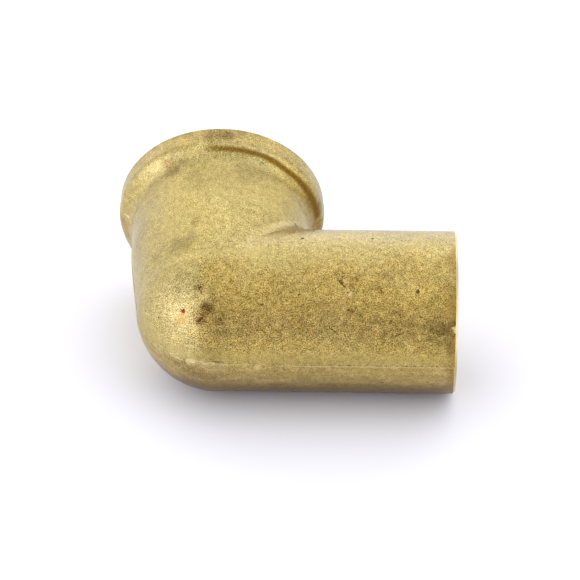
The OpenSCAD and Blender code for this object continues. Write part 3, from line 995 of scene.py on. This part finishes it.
# Soft marks on the skin, as values at the mesh's corners. Each line: kind,
# x, y, z in the flat frame, radius, strength
MARKS = [
    # stained corner and the rust-coloured place beside it
    ("stain", -1.5, -7.7, 7.0, 1.00, 0.95), ("stain", -2.0, -8.2, 6.3, 0.90, 0.95), ("stain", -2.4, -7.8, 6.6, 0.65, 0.80),
    ("stain", -2.4, -5.3, 8.8, 0.45, 0.80), ("smut", -1.0, -7.2, 7.6, 0.75, 0.70),
    ("smut", -0.2, -6.4, 8.4, 0.70, 0.45), ("rust", -4.4, -7.8, 5.7, 0.75, 0.60), ("rust", -4.5, -8.0, 5.2, 0.45, 0.40),
    # neck
    ("smut", -4.8, 2.0, 9.7, 1.40, 0.64), ("smut", -5.9, 1.7, 9.0, 0.90, 0.40), ("stain", -3.0, 5.2, 10.8, 0.50, 0.42),
    ("stain", -6.4, 9.6, 9.6, 0.60, 0.12), ("stain", 4.4, 7.4, 10.5, 0.45, 0.22), ("stain", -8.3, 12.3, 8.2, 0.50, 0.35),
    ("stain", -8.8, 12.0, 7.6, 0.45, 0.32),
    # collar
    ("stain", -6.6, 16.2, 10.4, 0.85, 0.50), ("stain", -5.9, 15.5, 10.4, 0.80, 0.50), ("stain", -5.1, 16.2, 11.2, 0.70, 0.42),
    ("rust", -6.6, 16.1, 10.5, 0.75, 0.08),
    ("smut", -1.7, 18.6, 13.35, 1.00, 0.50), ("smut", 0.2, 18.9, 13.4, 1.10, 0.50), ("stain", 0.6, 18.7, 13.4, 0.90, 0.40),
    ("stain", -1.2, 18.9, 13.4, 0.70, 0.35), ("smut", 2.5, 19.7, 13.2, 0.70, 0.55),
    ("smut", -3.6, 18.9, 12.9, 0.70, 0.30), ("smut", -8.8, 19.8, 10.2, 0.50, 0.45), ("smut", -7.4, 19.9, 11.2, 0.50, 0.50),
    ("smut", -10.0, 19.6, 9.0, 0.50, 0.40), ("smut", -6.0, 19.9, 12.0, 0.50, 0.40), ("smut", -4.3, 19.8, 12.8, 0.50, 0.35),
    ("brown_tint_and_painted_shade", 12.8, 16.6, -0.5, 1.10, 0.60),
    # plain arm, from the corner outwards
    ("stain", 0.7, -8.4, 6.3, 0.60, 0.30), ("smut", 15.2, -3.3, 9.9, 0.42, 0.65), ("stain", 15.7, -4.4, 9.5, 0.40, 0.40),
    ("stain", 17.5, -4.2, 9.6, 0.42, 0.70), ("stain", 17.1, -4.9, 9.3, 0.34, 0.60), ("stain", 17.0, -7.5, 7.3, 0.48, 0.45),
    ("stain", 18.3, -7.9, 6.9, 0.45, 0.45), ("stain", 20.6, -5.2, 9.1, 0.42, 0.65), ("stain", 21.5, -3.8, 9.7, 0.60, 0.45),
    ("stain", 22.2, -3.2, 9.9, 0.55, 0.35), ("stain", 23.0, -0.6, 10.4, 0.55, 0.40), ("stain", 24.6, -0.9, 10.4, 0.50, 0.35),
    ("stain", 23.7, -1.8, 10.3, 0.50, 0.25), ("stain", 28.1, -2.0, 10.3, 0.80, 0.45), ("stain", 22.8, -7.6, 7.2, 0.45, 0.35),
    ("stain", 17.80, -3.96, 9.70, 0.34, 0.65), ("stain", 20.85, -5.59, 8.87, 0.30, 0.60), ("stain", 15.8, -3.8, 9.8, 0.36, 0.45),
    ("stain", 21.3, -9.2, 5.0, 0.50, 0.45), ("smut", 29.95, -9.3, 4.8, 0.40, 0.55), ("stain", 1.6, -10.5, -1.2, 0.50, 0.35), ("smut", 16.6, -8.5, 6.2, 0.45, 0.40), ("smut", 16.1, -8.6, 6.0, 0.35, 0.30),
    ("smut", 27.4, -8.8, 5.8, 0.80, 0.50), ("smut", 28.6, -9.0, 5.5, 0.90, 0.60), ("smut", 29.6, -8.8, 5.8, 0.60, 0.45),
    ("rust", 29.7, -7.6, 7.2, 0.80, 0.34), ("rust", 29.7, -6.6, 8.2, 0.60, 0.26), ("rust", 29.8, -9.4, 4.6, 0.55, 0.30),
    ("stain", 0.8, -10.4, -1.3, 0.50, 0.55), ("stain", -2.2, -10.2, -1.6, 1.30, 0.42), ("stain", -3.4, -9.9, -1.0, 0.80, 0.35),
    ("stain", -0.6, -10.3, -2.4, 1.00, 0.28), ("smut", 26.4, -8.7, 5.9, 0.55, 0.35), ("smut", 10.0, 9.0, 6.6, 0.35, 0.30),
    # rubbed or dinged bright
    ("pale", 5.27, -10.57, 0.05, 0.66, 0.85), ("pale", -3.4, -9.95, 0.50, 0.70, 0.50), ("pale", -4.6, -9.3, 1.0, 0.90, 0.32),
    ("pale", -3.5, -9.8, 1.3, 0.80, 0.26), ("pale", -5.5, -8.8, 0.8, 0.90, 0.26), ("pale", 0.6, -10.5, -0.4, 1.0, 0.22),
    ("pale", -8.0, -7.0, 1.2, 0.8, 0.12), ("pale", 16.9, -5.95, 8.65, 0.24, 0.60), ("pale", 5.5, 17.4, 12.1, 0.30, 0.50),
    ("pale", -12.4, 16.2, 1.2, 0.30, 0.60), ("pale", -5.0, -9.2, 0.7, 0.40, 0.30), ("pale", -3.0, -10.05, 0.8, 0.45, 0.30),
    ("pale", -1.3, -10.4, 0.3, 0.70, 0.30), ("pale", 8.4, 8.2, 7.6, 1.00, 0.22), ("pale", 7.0, 6.6, 8.8, 0.70, 0.18),
    ("pale", 20.05, 2.75, 10.1, 0.20, 0.35),
]


# Broad places painted lighter or darker, mostly painted highlights and painted
# shade, some uneven tone of the brass: x, y, z in the flat frame, radius, change of tone
PAINTED_LIGHT_AND_TONE = [
    # heel: painted highlight, with painted shade towards the plain arm and round the underside
    (-4.1, -8.9, 3.6, 1.5, 0.18), (-4.9, -9.0, 2.3, 1.0, 0.12), (-2.7, -8.8, 5.1, 1.0, 0.10), (-1.6, -6.3, 8.4, 1.2, 0.10),
    (-0.1, -10.1, 3.0, 1.6, -0.17), (-0.8, -10.4, 1.0, 1.2, -0.12), (0.0, -10.5, -0.9, 1.4, -0.20), (-3.6, -9.5, -2.4, 1.3, -0.20),
    (-4.9, -9.3, -1.4, 1.5, -0.12), (-1.6, -10.3, -1.8, 1.3, -0.12), (-4.4, -7.8, 5.5, 0.9, -0.10), (-0.8, -8.6, 6.0, 0.9, -0.12),
    # neck: painted light in its middle, painted shade at its left edge and in the root under the collar
    (2.4, 5.7, 11.0, 2.0, 0.14), (5.2, 6.8, 10.2, 1.8, 0.09), (-8.4, 5.8, 7.3, 2.2, 0.12), (-10.5, 8.0, 4.6, 2.2, -0.10),
    (-0.6, 13.2, 11.7, 2.2, -0.13), (3.2, 13.6, 11.2, 1.8, -0.16), (-3.2, 12.2, 11.2, 1.8, -0.12),
    (-3.3, 14.6, 11.3, 1.4, -0.12), (4.2, 14.1, 11.0, 1.4, -0.14), (-6.9, 15.0, 9.7, 1.1, -0.12), (-8.9, 15.4, 8.3, 1.0, -0.16),
    # collar: painted highlights on its back slope and crest, painted shade on its right side
    (-9.2, 17.1, 9.4, 1.3, 0.10), (-7.9, 17.2, 10.6, 1.0, 0.12), (-10.6, 16.3, 6.7, 1.7, 0.12),
    (-4.5, 17.9, 12.7, 1.3, 0.22), (-3.2, 18.9, 13.1, 0.9, 0.12), (-2.8, 17.0, 12.6, 1.0, 0.12),
    (12.0, 16.8, 4.8, 1.8, -0.14), (12.8, 16.9, 2.4, 1.6, -0.16), (10.6, 13.0, 5.0, 1.6, -0.10), (-12.8, 17.0, -2.8, 1.4, -0.14),
    (-5.1, 16.4, 11.5, 0.8, -0.18), (13.2, 18.1, 2.6, 1.2, -0.14), (7.6, 16.3, 9.9, 0.9, 0.10),
    (6.2, 18.0, 11.9, 1.6, 0.10), (9.0, 17.2, 9.7, 1.4, 0.06),
    # plain arm: painted light and painted shade
    (27.5, -9.1, 5.1, 1.2, -0.12), (24.1, -10.4, -1.5, 1.8, 0.10), (12.5, -10.4, -1.8, 2.0, -0.10),
    (28.4, -9.8, 3.7, 1.8, -0.20), (29.3, -9.4, 4.6, 1.2, -0.14), (25.8, -4.8, 9.3, 2.0, 0.12), (25.0, -6.9, 7.9, 2.2, 0.12),
]


def skin_values(q):
    """Patina with painted shade on the front, grain, marks and painted light at points of the flat frame."""
    x, y, z = q[:, 0], q[:, 1], q[:, 2]
    n1, n2, n3 = noise(q, 3.2, 2.2), noise(q, 1.3, 8.8), noise(q, 0.7, 4.4)
    # how squarely a place on the plain arm and the ball looks to the worn side
    r = np.sqrt(np.minimum(x, 0) ** 2 + y * y + z * z) + 1e-9
    worn = (-0.845 * y + 0.535 * z) / r
    on_arm = smooth((x + 4.2 + 1.2 * n1) / 4.0) * (y < 9)
    # patina, partly painted shade: the front, facing the darker part of the room, is darker and browner
    patina_and_front_shade = smooth((worn - 0.50 + 0.10 * n1 + 0.05 * n2) / 0.36) * on_arm
    patina_and_front_shade = patina_and_front_shade * (1 - 0.45 * smooth((3.6 - z) / 2.2)) * np.clip(1 + 0.22 * noise(q, 2.9, 6.6), 0, 1.2)
    # the trimmed band has a sharp upper edge, but for the round of the corner
    soft = np.exp(-((x + 6.6) ** 2 + (y + 8.0) ** 2) / 6.8)
    band = smooth((0.42 + 0.5 * soft * n2 - z) / (0.12 + 1.3 * soft)) * smooth((z + 4.1 + 0.5 * n1) / 0.9)
    heel = smooth((worn - 0.35) / 0.4) * (1 - on_arm) * smooth((-y - 1.0) / 4.0)
    grain = 0.36 + 0.50 * patina_and_front_shade + 0.40 * heel + 0.08 * n1
    grain = grain + 0.13 * on_arm * (1 - patina_and_front_shade) * smooth((z - 6) / 2) + 0.06 * patina_and_front_shade * (x < 9)
    grain = grain + 0.16 * (y > 15) * (np.hypot(x, z) > 12.2) * smooth((x + 7) / 4)
    grain = grain * (1 - 0.45 * band) * (1 - 0.52 * smooth((3.2 - z) / 1.5) * smooth((z - 0.3) / 0.5))
    # the collar: a dark band on its back, on the plain arm's side, and scale on its crest
    around = np.degrees(np.arctan2(z, x))
    wide = np.hypot(x, z)
    root = smooth((126 + 10 * n1 - around) / 52) * smooth((around - 2.0) / 7) * (y > 15) * (wide > 11.6)
    root = root * (0.62 + 0.38 * smooth((70 - around) / 30))
    top = smooth((60 - np.abs(around - 95)) / 50)
    crest = smooth((y - 17.0 - 0.3 * n2) / 0.9) * (wide > 12.9) * (0.30 + 0.70 * top)
    # dark specks gather low on the worn side
    low = np.exp(-((z - 5.6 - 1.2 * n1) / 1.5) ** 2) * (y < 0) * smooth((x - 1) / 3)
    cluster = 0.5 + 0.5 * np.clip(low * smooth((n1 + 0.1) / 0.5) * 1.6 + 0.5 * smooth((n2 - 0.35) / 0.4), 0, 1)
    belt = band * (0.30 + 0.70 * smooth((x - 5.0) / 6.0))
    edge = smooth((x - 28.9 + 0.45 * n2) / 0.9) * smooth((worn - 0.30) / 0.3) * (0.7 + 0.3 * n1)
    tone_and_painted_light = 0.5 + 0.07 * noise(q, 3.7, 1.1) + 0.045 * noise(q, 1.7, 5.3)
    # painted shade: the underside is darker, a painted reflection of the floor's contact shadow
    tone_and_painted_light = tone_and_painted_light - (0.27 * smooth((-2.3 - z) / 2.1) + 0.10 * smooth((-4.2 - z) / 2.5)) * (y < 0)
    # painted shade along the far left side, by the neck
    tone_and_painted_light = tone_and_painted_light - 0.09 * smooth((-8.9 - x) / 1.6) * (y < 13) * (y > -5)
    tone_and_painted_light = tone_and_painted_light + 0.13 * band * (noise(q * [0.45, 0.45, 1.2], 1.0, 3.3) + 0.7 * noise(q * [1.2, 1.2, 3.0], 1.0, 7.1))
    # patches of painted light and painted shade
    for sx, sy, sz, size, change in PAINTED_LIGHT_AND_TONE:
        far = ((x - sx) ** 2 + (y - sy) ** 2 + (z - sz) ** 2) / size ** 2
        tone_and_painted_light = tone_and_painted_light + change * np.exp(-0.7 * far * (1 + 0.3 * n2))
    out = {"patina_and_front_shade": patina_and_front_shade, "grain": grain, "band": band, "belt": belt, "root": root, "crest": crest,
           "edge": edge, "cluster": cluster, "tone_and_painted_light": tone_and_painted_light}
    for kind in ("stain", "smut", "pale", "rust"):
        out[kind] = np.zeros(len(q))
    # browner on the back of the collar inside the dark band, deeper towards the plain arm
    inner = smooth((y - 14.7) / 0.9) * smooth((17.3 - y) / 0.5) * (wide > 11.4) * (wide < 13.4)
    out["brown_tint_and_painted_shade"] = inner * smooth((66 - around) / 50) * smooth((around + 22) / 14) * (0.72 + 0.15 * n2)
    # painted shade: the underside is also browner and darker
    out["brown_tint_and_painted_shade"] = np.maximum(out["brown_tint_and_painted_shade"], 0.90 * smooth((-2.4 - z) / 3.0) * (y < 0))
    for kind, cx, cy, cz, rad, strength in MARKS:
        d = np.sqrt((x - cx) ** 2 + (y - cy) ** 2 + (z - cz) ** 2)
        near = d < 3 * rad + 1
        e = d[near] / rad + 0.45 * n2[near] + 0.30 * n3[near]
        out[kind][near] = np.maximum(out[kind][near], strength * smooth((1.35 - e) / 0.9))
    return out


skin = skin_values(np.concatenate(S.co))
for key, value in skin.items():
    att = mesh.attributes.new(key, "FLOAT", "POINT")
    att.data.foreach_set("value", np.clip(value, 0, 1).astype(np.float32))

mesh.materials.append(forged())
mesh.materials.append(machined("brass_turned", (0.905, 0.765, 0.410), 0.24, 9.0, 0.006))
mesh.materials.append(machined("brass_bore", (0.860, 0.710, 0.360), 0.30, 5.0, 0.008))
mesh.materials.append(machined("brass_thread", (0.880, 0.735, 0.385), 0.26, 6.0, 0.003))

# --------------------------------------------------------------------------
# Floor, light, camera
# --------------------------------------------------------------------------
floor_mesh = bpy.data.meshes.new("floor")
floor_mesh.from_pydata([(-12, -12, 0), (12, -12, 0), (12, 12, 0), (-12, 12, 0)], [], [(0, 1, 2, 3)])
floor = bpy.data.objects.new("floor", floor_mesh)
bpy.context.scene.collection.objects.link(floor)
fm = bpy.data.materials.new("floor_paper")
fm.use_nodes = True
fb = fm.node_tree.nodes["Principled BSDF"]
fb.inputs["Base Color"].default_value = (0.94, 0.94, 0.95, 1)
fb.inputs["Roughness"].default_value = 0.9
fb.inputs["Specular IOR Level"].default_value = 0.0
floor_mesh.materials.append(fm)

# Studio: soft panels all round, brightest low on the left, with a darker gap
# where the room opens behind the camera.
# Directions are in the row frame, so the light is the same for every view.
world = bpy.data.worlds.new("studio")
bpy.context.scene.world = world
world.use_nodes = True
wt = Graph(world.node_tree)
bg = world.node_tree.nodes["Background"]
way = wt.node("ShaderNodeTexCoord").outputs["Generated"]


def toward(azimuth, elevation):
    """Cosine of the angle to a direction; azimuth 0 is the camera's side, 90 is +X."""
    az, el = math.radians(azimuth), math.radians(elevation)
    v = (math.sin(az) * math.cos(el), -math.cos(az) * math.cos(el), math.sin(el))
    return wt.vector("DOT_PRODUCT", way, v, "Value")


light = None
for azimuth, elevation, red, green, blue in STUDIO["panels"]:
    k = STUDIO["narrow"]
    e = wt.math("EXPONENT", wt.math("MULTIPLY_ADD", toward(azimuth, elevation), k, -k))
    glow = wt.vector("SCALE", (red, green, blue), scale=e)
    light = glow if light is None else wt.vector("ADD", light, glow)
wt.link(light, bg.inputs["Color"])
bg.inputs["Strength"].default_value = 1.0

# camera at the photograph's angle and distance
a, e, roll = math.radians(0.3495), math.radians(34.7056), math.radians(0.5626)
dist, focal = 504.2317, 3906.196
uo, vo = 217.7452, 308.9985
fw = -np.array([math.sin(a) * math.cos(e), -math.cos(a) * math.cos(e), math.sin(e)])
rt = np.array([math.cos(a), math.sin(a), 0.0])
up = np.cross(rt, fw)
r2 = math.cos(roll) * rt + math.sin(roll) * up
u2 = -math.sin(roll) * rt + math.cos(roll) * up
cam_at = CORNER - ((uo - 289.5) / focal * dist * r2 - (vo - 289.5) / focal * dist * u2 + dist * fw)
cam_data = bpy.data.cameras.new("camera")
cam_data.lens = focal / 580 * 36
cam_data.sensor_width = 36
cam_data.clip_start, cam_data.clip_end = 0.01, 20
cam = bpy.data.objects.new("camera", cam_data)
bpy.context.scene.collection.objects.link(cam)
m = Matrix(((r2[0], u2[0], -fw[0], cam_at[0] / 1000), (r2[1], u2[1], -fw[1], cam_at[1] / 1000),
            (r2[2], u2[2], -fw[2], cam_at[2] / 1000), (0, 0, 0, 1)))
cam.matrix_world = m
bpy.context.scene.camera = cam
bpy.context.scene.view_settings.view_transform = "Standard"
